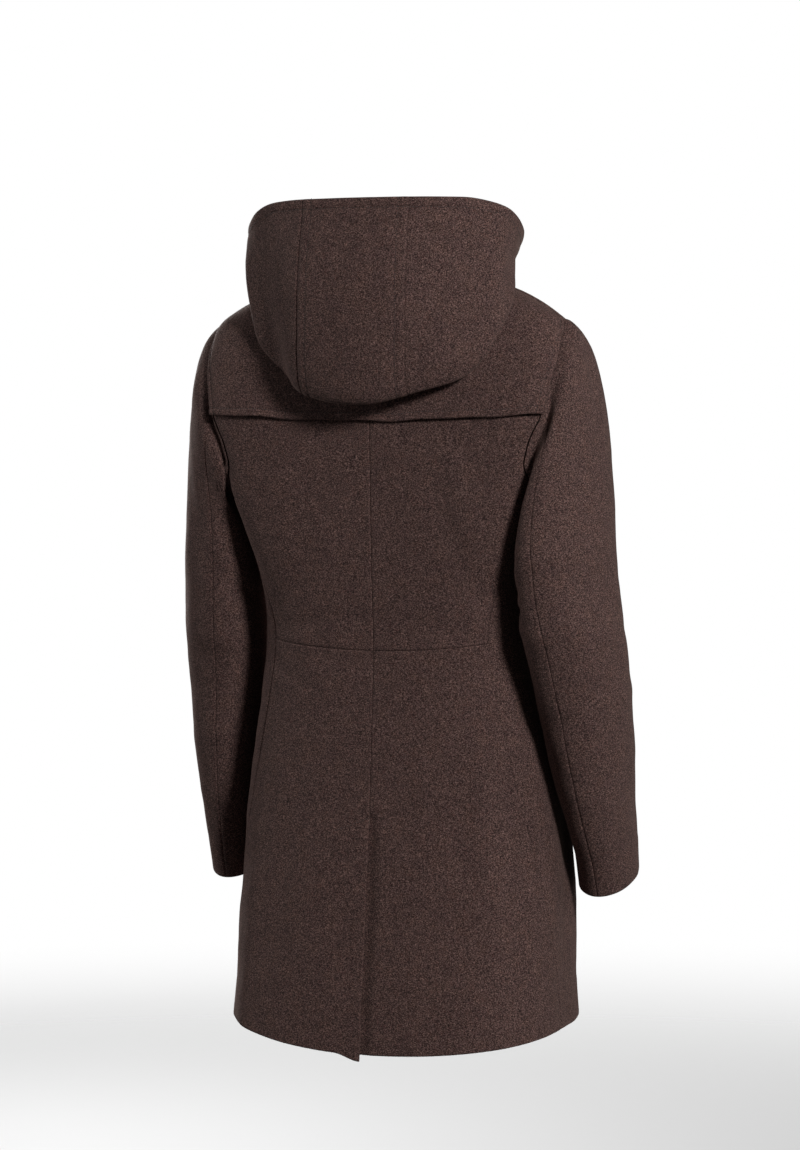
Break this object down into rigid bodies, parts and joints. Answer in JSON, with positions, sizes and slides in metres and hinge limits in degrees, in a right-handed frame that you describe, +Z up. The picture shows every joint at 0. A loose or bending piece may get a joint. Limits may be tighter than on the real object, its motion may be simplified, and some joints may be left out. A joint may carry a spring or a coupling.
{
  "type": "duffle coat",
  "caption": "Woman's thigh-length wool duffle coat, worn, with a hanging hood, loose-edged back yoke, waist seam, back vent, two-piece sleeves and toggle closures.",
  "frame": {"origin": "midway between the shoulders, at the level of the base of the neck, where the wearer's shoulders hold the coat", "axes": "+Z up along the body, the front faces -Y, the wearer's left is +X"},
  "size_m": [0.5169, 0.3429, 0.9122],
  "materials": {
    "wool": "brushed melton wool, dark brown with lighter and reddish fibres",
    "leather": "matt dark brown leather",
    "cord": "braided waxed cord",
    "toggle_wood": "satin dark stained wood"
  },
  "bodies": {
    "root": {"upper_back_left": "wool", "upper_back_right": "wool", "skirt_back_left": "wool", "skirt_back_right": "wool", "front_left": "wool", "front_right": "wool", "yoke_back": "wool", "hood_centre": "wool", "hood_side_left": "wool", "hood_side_right": "wool", "sleeve_upper_left": "wool", "sleeve_under_left": "wool", "sleeve_upper_right": "wool", "sleeve_under_right": "wool", "patch_left_1": "leather", "patch_left_2": "leather", "patch_left_3": "leather", "patch_left_4": "leather", "patch_right_1": "leather", "patch_right_2": "leather", "patch_right_3": "leather", "patch_right_4": "leather", "loop_1": "cord", "loop_2": "cord", "loop_3": "cord", "loop_4": "cord", "toggle_cord_1": "cord", "toggle_cord_2": "cord", "toggle_cord_3": "cord", "toggle_cord_4": "cord", "toggle_1": "toggle_wood", "toggle_2": "toggle_wood", "toggle_3": "toggle_wood", "toggle_4": "toggle_wood"}
  },
  "joints": []
}
